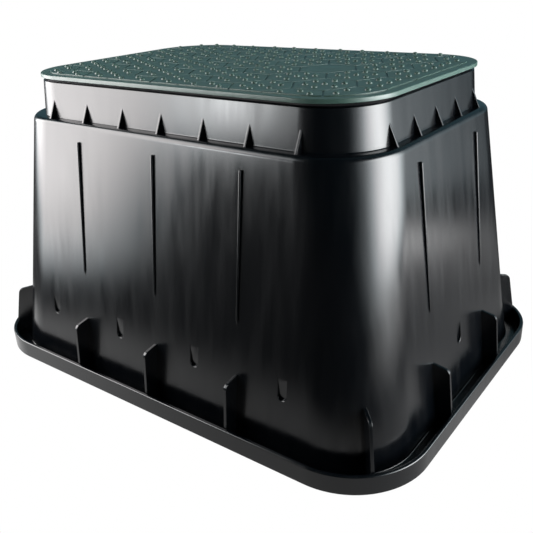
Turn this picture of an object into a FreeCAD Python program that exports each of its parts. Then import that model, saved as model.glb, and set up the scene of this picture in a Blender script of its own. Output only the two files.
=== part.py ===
import FreeCAD, Part
import Sketcher
import math
import os

# Irrigation valve box, millimetres. +Z is up, the foot rests on z = 0, the box is centred on the
# Z axis and its long side lies along X. It is two mouldings: the box, open at the bottom, and the
# lid, whose skirt drops inside the collar and rests on the ledge there.

doc = FreeCAD.newDocument("valve_box")

# Driving dimensions

SIZES = [
    # foot: flat flange with an upstanding lip
    ("base_length", 524.0), ("base_width", 392.0), ("base_corner", 76.0),
    ("base_floor", 4.0), ("lip_height", 18.5), ("lip_wall", 4.0), ("lip_chamfer", 1.0),
    # wall, set in from the flange's ends and sides and leaning inwards up to the shoulder
    ("flange_ends", 17.0), ("flange_sides", 15.5), ("wall_lean", 33.5), ("wall_corner", 63.5),
    ("shoulder_height", 263.0), ("shoulder_chamfer", 4.0), ("wall", 4.0),
    # collar, set in on the shoulder and leaning inwards towards its rim, and the bead round its
    # inner edge
    ("shoulder_ledge", 11.5), ("collar_corner", 55.0),
    ("collar_height", 34.4), ("collar_lean", 0.7), ("collar_wall", 4.0),
    ("bead_width", 2.0), ("bead_gap", 0.4),
    ("ledge_width", 8.0), ("ledge_thickness", 4.0),
    # thin triangular fins between shoulder and collar, the first and last this far from its ends
    ("fin_rise", 17.0), ("fin_thickness", 2.2), ("fin_setback", 4.5),
    ("long_fins", 7), ("long_fin_margin", 51.5), ("short_fins", 5), ("short_fin_margin", 49.5),
    # upright ribs that get shallower down the leaning wall and end in a short slope
    ("rib_drop", 17.0), ("rib_stand", 2.6), ("rib_heel", 1.4), ("rib_end", 112.0),
    ("rib_slope", 5.0), ("rib_thickness", 2.2),
    # gussets between wall and lip, three a long side, two a short side and one a corner
    ("gusset_height", 64.0), ("gusset_fall", 3.0), ("gusset_reach", 16.0),
    ("gusset_thickness", 3.0), ("gusset_round", 4.0),
    ("long_webs", 3), ("short_webs", 2),
    # thumbnail recesses low on the wall; they take turns with the ribs and gussets along a side,
    # and the row's first and last stand this far from the wall's ends
    ("recess_width", 9.0), ("recess_top", 77.0), ("recess_bottom", 56.0),
    ("long_recesses", 4), ("short_recesses", 1), ("long_row_margin", 95.0),
    ("short_row_margin", 120.5),
    # lid
    ("lid_gap", 3.0), ("lid_overhang", 1.7), ("lid_corner", 60.0), ("lid_plate", 3.8),
    ("lid_chamfer", 0.8), ("lid_clearance", 1.0), ("skirt_wall", 3.0),
    ("lid_rib_depth", 18.0), ("lid_rib_thickness", 2.5),
    ("cross_ribs", 7), ("cross_rib_margin", 58.3), ("length_ribs", 4),
    ("length_rib_margin", 59.8),
    # tread: honeycomb of raised tiles with seven studs on each but one, which lies some columns
    # to the right of the middle
    ("tread_margin", 9.5), ("tread_rise", 0.8), ("tile_side", 30.0), ("tile_groove", 1.6),
    ("stud_ring", 16.0), ("stud_foot", 5.6), ("stud_top", 3.2), ("stud_height", 2.0),
    ("stud_sides", 4), ("stud_edge", 1.0), ("bare_column", 2),
]

sheet = doc.addObject("Spreadsheet::Sheet", "Sizes")
for row, (name, value) in enumerate(SIZES, start=1):
    sheet.set("A%d" % row, name)
    sheet.set("B%d" % row, str(value))
    sheet.setAlias("B%d" % row, name)
doc.recompute()


def size(name):
    return float(sheet.get(name))


def value_of(expression):
    return float(sheet.evalExpression(expression))


# Sketch helpers: every length is an expression on the sheet

def origin_part(body, role):
    return next(item for item in body.Origin.OriginFeatures if item.Role == role)


def add_sketch(body, name, plane, offset=None):
    """A sketch on one of the body's own planes, moved along the plane's normal by an expression."""
    sketch = body.newObject("Sketcher::SketchObject", name)
    sketch.AttachmentSupport = (origin_part(body, plane), [""])
    sketch.MapMode = "FlatFace"
    if offset is not None:
        sketch.setExpression("AttachmentOffset.Base.z", offset)
    return sketch


def constrain(sketch, name, expression, *constraint):
    value = float(sketch.evalExpression(expression))
    index = sketch.addConstraint(Sketcher.Constraint(*constraint, value))
    sketch.renameConstraint(index, name)
    sketch.setExpression("Constraints." + name, expression)


def rounded_rectangle(sketch, tag, length, width, corner):
    """A rectangle with rounded corners, centred on the sketch's origin."""
    half_l = float(sketch.evalExpression(length)) / 2
    half_w = float(sketch.evalExpression(width)) / 2
    radius = float(sketch.evalExpression(corner))
    x = half_l - radius
    y = half_w - radius
    line = lambda a, b: Part.LineSegment(FreeCAD.Vector(*a, 0), FreeCAD.Vector(*b, 0))
    up = FreeCAD.Vector(0, 0, 1)
    loop = []
    sides = [((-x, -half_w), (x, -half_w)), ((half_l, -y), (half_l, y)),
             ((x, half_w), (-x, half_w)), ((-half_l, y), (-half_l, -y))]
    centres = [(x, -y), (x, y), (-x, y), (-x, -y)]
    for turn, (side, centre) in enumerate(zip(sides, centres)):
        loop.append(sketch.addGeometry(line(*side), False))
        circle = Part.Circle(FreeCAD.Vector(*centre, 0), up, radius)
        start = math.radians(90 * (turn - 1))
        arc = Part.ArcOfCircle(circle, start, start + math.radians(90))
        loop.append(sketch.addGeometry(arc, False))
    for here, there in zip(loop, loop[1:] + loop[:1]):
        sketch.addConstraint(Sketcher.Constraint("Tangent", here, 2, there, 1))
    for index in (0, 4):
        sketch.addConstraint(Sketcher.Constraint("Horizontal", loop[index]))
        sketch.addConstraint(Sketcher.Constraint("Vertical", loop[index + 2]))
    for index in (3, 5, 7):
        sketch.addConstraint(Sketcher.Constraint("Equal", loop[1], loop[index]))
    sketch.addConstraint(Sketcher.Constraint("Symmetric", loop[1], 3, loop[5], 3, -1, 1))
    constrain(sketch, tag + "Length", length, "DistanceX", loop[6], 1, loop[2], 1)
    constrain(sketch, tag + "Width", width, "DistanceY", loop[0], 1, loop[4], 1)
    constrain(sketch, tag + "Corner", corner, "Radius", loop[1])


def polygon(sketch, points, mirrored=False):
    """A closed outline through points given as pairs of expressions, all right of the axis.

    A mirrored outline repeats them on the left of the sketch's upright axis."""
    where = [tuple(float(sketch.evalExpression(e)) for e in point) for point in points]
    corners = list(where)
    if mirrored:
        corners += [(-x, y) for x, y in reversed(where)]
    edges = []
    for a, b in zip(corners, corners[1:] + corners[:1]):
        segment = Part.LineSegment(FreeCAD.Vector(*a, 0), FreeCAD.Vector(*b, 0))
        edges.append(sketch.addGeometry(segment, False))
    for here, there in zip(edges, edges[1:] + edges[:1]):
        sketch.addConstraint(Sketcher.Constraint("Coincident", here, 2, there, 1))
    for index, (x, y) in enumerate(points):
        constrain(sketch, "X%d" % index, x, "DistanceX", -1, 1, edges[index], 1)
        constrain(sketch, "Y%d" % index, y, "DistanceY", -1, 1, edges[index], 1)
        if mirrored:
            twin = edges[len(corners) - 1 - index]
            sketch.addConstraint(Sketcher.Constraint("Symmetric", edges[index], 1, twin, 1, -2))


# Feature helpers

def pad(body, name, sketch, length, symmetric=False):
    feature = body.newObject("PartDesign::Pad", name)
    feature.Profile = sketch
    feature.setExpression("Length", length)
    if symmetric:
        feature.SideType = "Symmetric"
    return feature


def pocket(body, name, sketch, depth, outwards=False):
    feature = body.newObject("PartDesign::Pocket", name)
    feature.Profile = sketch
    feature.setExpression("Length", depth)
    feature.Reversed = outwards
    return feature


def lean_faces(body, name, lean, height, plane, chosen):
    """Leans the chosen upright faces inwards by so much over a height, from where they cross a plane."""
    doc.recompute()
    base = body.Tip
    names = ["Face%d" % (i + 1) for i, face in enumerate(base.Shape.Faces) if chosen(face)]
    feature = body.newObject("PartDesign::Draft", name)
    feature.Base = (base, names)
    feature.NeutralPlane = (plane, [""])
    feature.setExpression("Angle", "atan(%s / (%s))" % (lean, height))
    return feature


def upright(face):
    return abs(face.normalAt(*[sum(face.ParameterRange[i:i + 2]) / 2 for i in (0, 2)]).z) < 1e-4


def repeat(body, name, feature, axis, count, pitch):
    pattern = body.newObject("PartDesign::LinearPattern", name)
    pattern.Originals = [feature]
    pattern.Direction = (origin_part(body, axis), [""])
    pattern.setExpression("Occurrences", count)
    pattern.setExpression("Length", "(%s - 1) * %s" % (count, pitch))
    body.Tip = pattern
    return pattern


def treat_edges(body, name, kind, amount, chosen):
    """Fillets or chamfers the edges of the body's present shape that the test picks out."""
    doc.recompute()
    base = body.Tip
    names = ["Edge%d" % (i + 1) for i, edge in enumerate(base.Shape.Edges) if chosen(edge)]
    feature = body.newObject("PartDesign::" + kind, name)
    feature.Base = (base, names)
    feature.setExpression({"Fillet": "Radius", "Chamfer": "Size"}[kind], amount)
    return feature


def level(edge, height):
    """True for an edge that lies flat at this height."""
    box = edge.BoundBox
    return abs(box.ZMin - height) < 1e-4 and abs(box.ZMax - height) < 1e-4


def rising(edge):
    """True for an edge that runs from one height to another."""
    return edge.BoundBox.ZLength > 1e-4


FOOT = {
    "length": "(Sizes.base_length - 2 * Sizes.flange_ends)",
    "width": "(Sizes.base_width - 2 * Sizes.flange_sides)",
}
COLLAR = {
    "length": "(%s - 2 * (Sizes.wall_lean + Sizes.shoulder_ledge))" % FOOT["length"],
    "width": "(%s - 2 * (Sizes.wall_lean + Sizes.shoulder_ledge))" % FOOT["width"],
    "corner": "Sizes.collar_corner",
}
COLLAR_TOP = "Sizes.shoulder_height + Sizes.collar_height"
COLLAR_RIM = {
    "length": COLLAR["length"] + " - 2 * Sizes.collar_lean",
    "width": COLLAR["width"] + " - 2 * Sizes.collar_lean",
    "corner": COLLAR["corner"] + " - Sizes.collar_lean",
}
LID_EDGE = {
    "length": COLLAR_RIM["length"] + " + 2 * Sizes.lid_overhang",
    "width": COLLAR_RIM["width"] + " + 2 * Sizes.lid_overhang",
    "corner": "Sizes.lid_corner",
}


def wall_half(side, height):
    """Half the wall's outer length or width at a height, as an expression."""
    return "(%s / 2 - Sizes.wall_lean * (%s) / Sizes.shoulder_height)" % (FOOT[side], height)


def pitch_over(span, margin, count):
    """Pitch of a row whose first and last stand this far inside the ends of a span."""
    return "((%s - 2 * %s) / (%s - 1))" % (span, margin, count)


FIRST = "-(%s - 1) / 2 * %s"


def inside(outline, inset):
    """Length, width and corner of the outline this far inside another."""
    return ["%s - 2 * (%s)" % (outline["length"], inset),
            "%s - 2 * (%s)" % (outline["width"], inset),
            "%s - (%s)" % (outline["corner"], inset)]


# Box: foot flange, lip and leaning wall

box = doc.addObject("PartDesign::Body", "ValveBox")
box.Label = "box_body"


def rectangle(sketch, length, width):
    """A plain rectangle, centred on the sketch's origin."""
    polygon(sketch, [("(%s) / 2" % length, "-(%s) / 2" % width),
                     ("(%s) / 2" % length, "(%s) / 2" % width)], mirrored=True)


def leaning_block(body, length, width, corner, height):
    """A block on the ground whose four sides lean inwards and meet in round corners."""
    sketch = add_sketch(body, "FootOutline", "XY_Plane")
    rectangle(sketch, length, width)
    pad(body, "Block", sketch, height)
    lean_faces(body, "Lean", "Sizes.wall_lean", "Sizes.shoulder_height",
               origin_part(body, "XY_Plane"), upright)
    treat_edges(body, "Corners", "Fillet", corner, rising)


leaning_block(box, FOOT["length"], FOOT["width"], "Sizes.wall_corner", "Sizes.shoulder_height")
treat_edges(box, "ShoulderChamfer", "Chamfer", "Sizes.shoulder_chamfer",
            lambda edge: level(edge, size("shoulder_height")))

sketch = add_sketch(box, "FlangeOutline", "XY_Plane")
rounded_rectangle(sketch, "Outer", "Sizes.base_length", "Sizes.base_width", "Sizes.base_corner")
pad(box, "Flange", sketch, "Sizes.base_floor")

sketch = add_sketch(box, "LipOutline", "XY_Plane")
rounded_rectangle(sketch, "Outer", "Sizes.base_length", "Sizes.base_width", "Sizes.base_corner")
rounded_rectangle(sketch, "Inner", "Sizes.base_length - 2 * Sizes.lip_wall",
                  "Sizes.base_width - 2 * Sizes.lip_wall", "Sizes.base_corner - Sizes.lip_wall")
pad(box, "Lip", sketch, "Sizes.lip_height")
treat_edges(box, "LipChamfer", "Chamfer", "Sizes.lip_chamfer",
            lambda edge: level(edge, size("lip_height")))

shoulder_plane = box.newObject("PartDesign::Plane", "ShoulderPlane")
shoulder_plane.AttachmentSupport = (origin_part(box, "XY_Plane"), [""])
shoulder_plane.MapMode = "FlatFace"
shoulder_plane.setExpression("AttachmentOffset.Base.z", "Sizes.shoulder_height")
sketch = add_sketch(box, "CollarOutline", "XY_Plane", "Sizes.shoulder_height")
rounded_rectangle(sketch, "Collar", *inside(COLLAR, "0"))
pad(box, "Collar", sketch, "Sizes.collar_height")
lean_faces(box, "CollarLean", "Sizes.collar_lean", "Sizes.collar_height", shoulder_plane,
           lambda face: upright(face) and face.BoundBox.ZMin > size("shoulder_height") / 2)

# Fins, ribs and gussets: each profile spans the whole box, and the hollow cut later parts it

RIB_TOP = "(Sizes.shoulder_height - Sizes.rib_drop)"
RIB_HEEL = "Sizes.rib_end + Sizes.rib_slope"
GUSSET_CORNER = "Sizes.gusset_height - Sizes.gusset_fall"
LIP_ROOT = "Sizes.lip_height - Sizes.lip_wall / 2"
SIDES = {
    "long": {"plane": "YZ_Plane", "sign": "", "axis": "X_Axis", "along": "length",
             "across": "width"},
    "short": {"plane": "XZ_Plane", "sign": "-1 * ", "axis": "Y_Axis", "along": "width",
              "across": "length"},
}


def row_pitch(side):
    """Pitch of ribs and gussets along a side, and of the recesses that take turns with them."""
    stations = "(Sizes.%s_webs + Sizes.%s_recesses)" % (side, side)
    return "2 * " + pitch_over(FOOT[SIDES[side]["along"]],
                               "Sizes.%s_row_margin" % side, stations)


def spanning_web(name, side, count, pitch, thickness, points):
    """Plates across the box, evenly spaced along one side, from one mirrored profile."""
    place = SIDES[side]
    sketch = add_sketch(box, name + "Profile", place["plane"],
                        place["sign"] + "(" + FIRST % (count, pitch) + ")")
    polygon(sketch, points, mirrored=True)
    web = pad(box, name, sketch, thickness, symmetric=True)
    repeat(box, name + "Row", web, place["axis"], count, pitch)


for side in SIDES:
    across = SIDES[side]["across"]
    shoulder_edge = wall_half(across, "Sizes.shoulder_height") + " - Sizes.fin_setback"
    collar_face = "%s / 2 - Sizes.collar_lean * Sizes.fin_rise / Sizes.collar_height"
    under = "Sizes.shoulder_height - Sizes.fin_setback"
    spanning_web(side.title() + "Fins", side, "Sizes.%s_fins" % side,
                 pitch_over(COLLAR[SIDES[side]["along"]], "Sizes.%s_fin_margin" % side,
                            "Sizes.%s_fins" % side),
                 "Sizes.fin_thickness",
                 [(shoulder_edge, under),
                  (shoulder_edge, "Sizes.shoulder_height"),
                  (collar_face % COLLAR[across], "Sizes.shoulder_height + Sizes.fin_rise")])
    spanning_web(side.title() + "Ribs", side, "Sizes.%s_webs" % side, row_pitch(side),
                 "Sizes.rib_thickness",
                 [(wall_half(across, "Sizes.rib_end"), "Sizes.rib_end"),
                  (wall_half(across, RIB_HEEL) + " + Sizes.rib_heel", RIB_HEEL),
                  (wall_half(across, RIB_TOP) + " + Sizes.rib_stand", RIB_TOP)])
    spanning_web(side.title() + "Gussets", side, "Sizes.%s_webs" % side, row_pitch(side),
                 "Sizes.gusset_thickness",
                 [("Sizes.base_%s / 2 - Sizes.lip_wall / 2" % across, "Sizes.base_floor / 2"),
                  ("Sizes.base_%s / 2 - Sizes.lip_wall / 2" % across, LIP_ROOT),
                  ("Sizes.base_%s / 2 - Sizes.lip_wall" % across, "Sizes.lip_height"),
                  (wall_half(across, GUSSET_CORNER) + " + Sizes.gusset_reach", GUSSET_CORNER),
                  (wall_half(across, "Sizes.gusset_height"), "Sizes.gusset_height")])

CORNER_X = "(Sizes.base_length / 2 - Sizes.base_corner)"
CORNER_Y = "(Sizes.base_width / 2 - Sizes.base_corner)"


def corner_distance(height):
    """How far the wall's round corner is from the lip corner's upright axis, on the diagonal."""
    sides = "(%s - %s + %s - %s) / 2" % (wall_half("length", height), CORNER_X,
                                         wall_half("width", height), CORNER_Y)
    return "(sqrt(2) * %s - (sqrt(2) - 1) * Sizes.wall_corner)" % sides


inner = corner_distance("0") + " / 2"
outer = "Sizes.base_corner - Sizes.lip_wall"
for x_sign in (1, -1):
    for y_sign in (1, -1):
        tag = ("East" if x_sign > 0 else "West") + ("Back" if y_sign > 0 else "Front")
        sketch = add_sketch(box, tag + "CornerProfile", "XZ_Plane",
                            "%d * %s" % (-y_sign, CORNER_Y))
        sketch.setExpression("AttachmentOffset.Base.x", "%d * %s" % (x_sign, CORNER_X))
        bearing = math.degrees(math.atan2(y_sign, x_sign))
        turn = FreeCAD.Rotation(FreeCAD.Vector(0, 1, 0), bearing)
        sketch.AttachmentOffset = FreeCAD.Placement(FreeCAD.Vector(), turn)
        polygon(sketch, [(inner, "Sizes.base_floor / 2"),
                         (outer + " + Sizes.lip_wall / 2", "Sizes.base_floor / 2"),
                         (outer + " + Sizes.lip_wall / 2", LIP_ROOT),
                         (outer, "Sizes.lip_height"),
                         (corner_distance(GUSSET_CORNER) + " + Sizes.gusset_reach",
                          GUSSET_CORNER),
                         (corner_distance("Sizes.gusset_height"), "Sizes.gusset_height"),
                         (inner, "Sizes.gusset_height")])
        pad(box, tag + "CornerGusset", sketch, "Sizes.gusset_thickness", symmetric=True)

treat_edges(box, "GussetRound", "Fillet", "Sizes.gusset_round",
            lambda edge: level(edge, value_of(GUSSET_CORNER))
            and abs(edge.Length - size("gusset_thickness")) < 1e-3)

# Box: hollow below the shoulder, lid seat, ledge opening and the bead under the lid's rim

core = doc.addObject("PartDesign::Body", "Core")
leaning_block(core, FOOT["length"] + " - 2 * Sizes.wall", FOOT["width"] + " - 2 * Sizes.wall",
              "Sizes.wall_corner - Sizes.wall", "Sizes.shoulder_height - Sizes.ledge_thickness")
doc.recompute()
hollow = box.newObject("PartDesign::Boolean", "Hollow")
hollow.Type = "Cut"
hollow.setObjects([core])

sketch = add_sketch(box, "SeatOutline", "XY_Plane", COLLAR_TOP)
rounded_rectangle(sketch, "Seat", *inside(COLLAR_RIM, "Sizes.collar_wall"))
pocket(box, "LidSeat", sketch, "Sizes.collar_height")

sketch = add_sketch(box, "OpeningOutline", "XY_Plane", "Sizes.shoulder_height")
rounded_rectangle(sketch, "Opening",
                  *inside(COLLAR_RIM, "Sizes.collar_wall + Sizes.ledge_width"))
pocket(box, "LedgeOpening", sketch, "Sizes.ledge_thickness")

sketch = add_sketch(box, "BeadOutline", "XY_Plane", COLLAR_TOP)
rounded_rectangle(sketch, "Outer", *inside(COLLAR_RIM, "Sizes.collar_wall - Sizes.bead_width"))
rounded_rectangle(sketch, "Inner", *inside(COLLAR_RIM, "Sizes.collar_wall"))
pad(box, "Bead", sketch, "Sizes.lid_gap - Sizes.bead_gap")

# Box: thumbnail recesses, upright at the back and deepest at their round lower end


def recess_row(side, face):
    """Recesses along one wall; face is 1 for the wall on the plane's positive side."""
    place = SIDES[side]
    plane, axis = ("XZ_Plane", "X_Axis") if side == "long" else ("YZ_Plane", "Y_Axis")
    back = wall_half(place["across"], "Sizes.recess_top")
    name = "%sRecess%s" % (side.title(), "A" if face > 0 else "B")
    sketch = add_sketch(box, name + "Outline", plane, "%d * %s" % (face, back))
    count = "Sizes.%s_recesses" % side
    sketch.setExpression("AttachmentOffset.Base.x", FIRST % (count, row_pitch(side)))
    half = size("recess_width") / 2
    low = size("recess_bottom") + half
    high = size("recess_top")
    point = lambda x, y: FreeCAD.Vector(x, y, 0)
    right = sketch.addGeometry(Part.LineSegment(point(half, low), point(half, high)), False)
    top = sketch.addGeometry(Part.LineSegment(point(half, high), point(-half, high)), False)
    left = sketch.addGeometry(Part.LineSegment(point(-half, high), point(-half, low)), False)
    circle = Part.Circle(point(0, low), FreeCAD.Vector(0, 0, 1), half)
    bowl = sketch.addGeometry(Part.ArcOfCircle(circle, math.pi, 2 * math.pi), False)
    sketch.addConstraint(Sketcher.Constraint("Coincident", right, 2, top, 1))
    sketch.addConstraint(Sketcher.Constraint("Coincident", top, 2, left, 1))
    sketch.addConstraint(Sketcher.Constraint("Tangent", left, 2, bowl, 1))
    sketch.addConstraint(Sketcher.Constraint("Tangent", bowl, 2, right, 1))
    sketch.addConstraint(Sketcher.Constraint("Horizontal", top))
    sketch.addConstraint(Sketcher.Constraint("Vertical", right))
    sketch.addConstraint(Sketcher.Constraint("PointOnObject", bowl, 3, -2))
    constrain(sketch, "HalfWidth", "Sizes.recess_width / 2", "Radius", bowl)
    constrain(sketch, "Low", "Sizes.recess_bottom + Sizes.recess_width / 2",
              "DistanceY", -1, 1, bowl, 3)
    constrain(sketch, "High", "Sizes.recess_top", "DistanceY", -1, 1, right, 2)
    cut = pocket(box, name, sketch, "Sizes.recess_top - Sizes.recess_bottom", face > 0)
    if size(side + "_recesses") > 1:
        repeat(box, name + "Row", cut, axis, count, row_pitch(side))


for side in SIDES:
    for face in (1, -1):
        recess_row(side, face)

# Lid: plate, skirt and underside ribs

UNDER = COLLAR_TOP + " + Sizes.lid_gap"

lid_blank = doc.addObject("PartDesign::Body", "LidBlank")
lid_blank.Label = "lid_blank"

sketch = add_sketch(lid_blank, "PlateOutline", "XY_Plane", UNDER)
rounded_rectangle(sketch, "Plate", *inside(LID_EDGE, "0"))
pad(lid_blank, "Plate", sketch, "Sizes.lid_plate")
treat_edges(lid_blank, "PlateEdge", "Chamfer", "Sizes.lid_chamfer",
            lambda edge: level(edge, value_of(UNDER + " + Sizes.lid_plate")))

SKIRT_INSET = "Sizes.collar_wall + Sizes.lid_clearance"
sketch = add_sketch(lid_blank, "SkirtOutline", "XY_Plane", "Sizes.shoulder_height")
rounded_rectangle(sketch, "Outer", *inside(COLLAR_RIM, SKIRT_INSET))
rounded_rectangle(sketch, "Inner", *inside(COLLAR_RIM, SKIRT_INSET + " + Sizes.skirt_wall"))
pad(lid_blank, "Skirt", sketch, "Sizes.collar_height + Sizes.lid_gap")


def lid_ribs(name, plane, axis, sign, count, pitch, span):
    """Parallel ribs under the plate, from skirt to skirt."""
    sketch = add_sketch(lid_blank, name + "Profile", plane,
                        sign + "(" + FIRST % (count, pitch) + ")")
    reach = "(%s) / 2 - %s - Sizes.skirt_wall / 2" % (span, SKIRT_INSET)
    low = UNDER + " - Sizes.lid_rib_depth"
    polygon(sketch, [(reach, low), (reach, UNDER)], mirrored=True)
    rib = pad(lid_blank, name, sketch, "Sizes.lid_rib_thickness", symmetric=True)
    repeat(lid_blank, name + "Row", rib, axis, count, pitch)


lid_ribs("CrossRibs", "YZ_Plane", "X_Axis", "", "Sizes.cross_ribs",
         pitch_over(COLLAR_RIM["length"], "Sizes.cross_rib_margin", "Sizes.cross_ribs"),
         COLLAR_RIM["width"])
lid_ribs("LengthRibs", "XZ_Plane", "Y_Axis", "-1 * ", "Sizes.length_ribs",
         pitch_over(COLLAR_RIM["width"], "Sizes.length_rib_margin", "Sizes.length_ribs"),
         COLLAR_RIM["length"])

# Lid: tread of hexagonal tiles with studs, cut to the outline inside the margin


def rounded_face(length, width, corner, height):
    """A flat face with the outline of a rounded rectangle."""
    x = length / 2 - corner
    y = width / 2 - corner
    middle = corner * math.sqrt(0.5)
    edges = []
    for turn in range(4):
        spin = FreeCAD.Rotation(FreeCAD.Vector(0, 0, 1), 90 * turn)
        along, reach = (x, y) if turn % 2 == 0 else (y, x)
        point = lambda px, py: spin.multVec(FreeCAD.Vector(px, py, 0)) + FreeCAD.Vector(0, 0, height)
        edges.append(Part.LineSegment(point(-along, -reach - corner),
                                      point(along, -reach - corner)).toShape())
        edges.append(Part.Arc(point(along, -reach - corner), point(along + middle, -reach - middle),
                              point(along + corner, -reach)).toShape())
    return Part.Face(Part.Wire(edges))


# Steps of a honeycomb along X and Y, for a side of one
COLUMN = 1.5
ROW = math.sqrt(3)


def corners_round(centre, radius, count=6, phase=0.0):
    """Points evenly spaced on a circle, the first one at the phase angle in degrees."""
    angles = [math.radians(phase + 360 * k / count) for k in range(count)]
    return [centre + FreeCAD.Vector(math.cos(a), math.sin(a), 0) * radius for a in angles]


def closed_wire(points):
    return Part.makePolygon(points + points[:1])


def tile_centres(reach_x, reach_y, side, height):
    """Centres of a honeycomb with a cell in the middle, flat sides along X."""
    column = COLUMN * side
    row = ROW * side
    centres = []
    for i in range(-int(reach_x / column) - 1, int(reach_x / column) + 2):
        for j in range(-int(reach_y / row) - 1, int(reach_y / row) + 2):
            shift = row / 2 if i % 2 else 0.0
            centres.append(FreeCAD.Vector(i * column, j * row + shift, height))
    return centres


def stud_solid(centre):
    """A low stud with flat sides that narrows towards its top."""
    sides = int(size("stud_sides"))
    top = centre + FreeCAD.Vector(0, 0, size("stud_height"))
    foot = corners_round(centre, size("stud_foot") / 2, sides)
    crown = corners_round(top, size("stud_top") / 2, sides)
    flanks = [[foot[k - 1], foot[k], crown[k], crown[k - 1]] for k in range(sides)]
    faces = [Part.Face(closed_wire(points)) for points in [foot[::-1], crown] + flanks]
    return Part.Solid(Part.Shell(faces))


def tread_solids():
    """Tiles, and studs on them: one in the middle and six round it; one cell stays bare."""
    root = value_of(UNDER + " + Sizes.lid_plate / 2")
    crown = value_of(UNDER + " + Sizes.lid_plate + Sizes.tread_rise")
    length, width, corner = [value_of(e) for e in inside(LID_EDGE, "Sizes.tread_margin")]
    edge = size("stud_foot") / 2 + size("stud_edge")
    field = rounded_face(length, width, corner, root)
    stud_field = rounded_face(length - 2 * edge, width - 2 * edge, corner - edge, crown)
    side = size("tile_side")
    bare = FreeCAD.Vector(size("bare_column") * COLUMN * side, 0, root)
    tiles = []
    studs = []
    for centre in tile_centres(length / 2, width / 2, side, root):
        corner = side - size("tile_groove") / math.sqrt(3)
        tile = Part.Face(closed_wire(corners_round(centre, corner)))
        for face in tile.common(field).Faces:
            tiles.append(face.extrude(FreeCAD.Vector(0, 0, crown - root)))
        if centre.distanceToPoint(bare) < side / 2:
            continue
        top = centre + FreeCAD.Vector(0, 0, crown - root)
        for spot in [top] + corners_round(top, size("stud_ring"), phase=30.0):
            if stud_field.isInside(spot, 1e-3, True):
                studs.append(stud_solid(spot))
    return tiles, studs


doc.recompute()
layers = []
for name, solids in zip(("TreadTiles", "TreadStuds"), tread_solids()):
    layer = doc.addObject("Part::Feature", name)
    layer.Shape = Part.makeCompound(solids)
    layers.append(layer)

lid = doc.addObject("Part::MultiFuse", "Lid")
lid.Label = "lid"
lid.Shapes = [lid_blank] + layers
doc.recompute()

# Check every object and write the two sub-parts

for item in doc.Objects:
    if "Invalid" in item.State or "Error" in item.State:
        raise RuntimeError("%s: %s" % (item.Name, item.State))

os.makedirs("parts", exist_ok=True)
for piece in (box, lid):
    shape = piece.Shape
    if shape.isNull() or not shape.isValid() or len(shape.Solids) != 1:
        raise RuntimeError("%s: bad shape, %d solids" % (piece.Label, len(shape.Solids)))
    shape.exportStep("parts/%s.step" % piece.Label)
    bounds = shape.BoundBox
    print("%s: %.0f mm3, x %.1f..%.1f y %.1f..%.1f z %.1f..%.1f" % (
        piece.Label, shape.Volume, bounds.XMin, bounds.XMax, bounds.YMin, bounds.YMax,
        bounds.ZMin, bounds.ZMax))
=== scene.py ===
# %% [markdown]
# # Irrigation valve box
#
# A lesson in dressing a CAD model. The object is a plastic ground box: a glossy black moulding
# that widens towards its foot, and a green lid with a honeycomb tread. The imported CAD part
# gives every size and place, and the cells below model the same two mouldings again with the
# rounded edges and the finish that a camera sees.

import math

import bmesh
import bpy
from mathutils import Matrix, Quaternion, Vector


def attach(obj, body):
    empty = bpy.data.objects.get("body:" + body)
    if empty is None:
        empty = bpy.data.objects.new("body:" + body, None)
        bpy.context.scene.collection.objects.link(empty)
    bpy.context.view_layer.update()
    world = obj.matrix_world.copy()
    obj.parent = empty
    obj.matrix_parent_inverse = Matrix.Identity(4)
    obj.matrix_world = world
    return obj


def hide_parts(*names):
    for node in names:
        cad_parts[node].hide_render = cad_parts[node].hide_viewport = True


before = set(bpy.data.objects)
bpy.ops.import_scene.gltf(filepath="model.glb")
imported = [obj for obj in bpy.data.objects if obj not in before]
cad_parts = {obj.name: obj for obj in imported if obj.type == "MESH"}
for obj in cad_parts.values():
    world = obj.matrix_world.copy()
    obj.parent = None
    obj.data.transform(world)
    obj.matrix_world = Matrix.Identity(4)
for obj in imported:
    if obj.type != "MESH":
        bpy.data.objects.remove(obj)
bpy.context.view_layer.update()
MM = 0.001

# %% [markdown]
# ## Sizes
#
# All sizes are in millimetres, as a mould maker would write them, and are turned into metres
# where a mesh is made. They are the CAD part's own sizes, so the new pieces land on the solids.
# Only the collar leans a little more here, by about as much as its reflections show, and the
# gap under the lid's rim is a little taller, so that it reads as the dark line it is.

# %% Sizes of the box
BASE = (524 / 2, 392 / 2, 76)
LIP_TOP, LIP_WALL, FLOOR_TOP = 18.5, 4.0, 4.0
FOOT = (490 / 2, 361 / 2, 63.9)
LEAN, SHOULDER = 33.5, 263.0
WALL, LEDGE_UNDER = 4.0, 259.0
COLLAR = (401.4 / 2, 272.4 / 2, 55.7)
COLLAR_LEAN, COLLAR_RISE = 3.2, 33.8
COLLAR_TOP = SHOULDER + COLLAR_RISE
SEAT = (390.6 / 2, 261.6 / 2, 50.3)
LEDGE = tuple(value - 8 for value in SEAT)
LID_GAP = 3.6
BEAD_FOOT, BEAD_WIDTH, BEAD_TOP = 0.6, 2.0, COLLAR_TOP + LID_GAP - 0.4
print("collar top at", COLLAR_TOP, "mm")

# %% [markdown]
# ## Rings
#
# Both mouldings are hollow shells with a rounded rectangular outline. By hand such a shell can
# be made by extruding one outline again and again, but scaling an outline spoils its corners.
# So each outline is made fresh: a plane at its size and place, its four corners bevelled round,
# its face deleted so that only the edge loop stays. Neighbouring loops are then bridged, and
# the corners stay true arcs.

# %% Helpers: one rounded ring of edges
CORNER_STEPS = 20


def deselect_everything():
    """Operators act on all that is selected, so each step starts from nothing."""
    bpy.ops.object.select_all(action="DESELECT")


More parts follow.
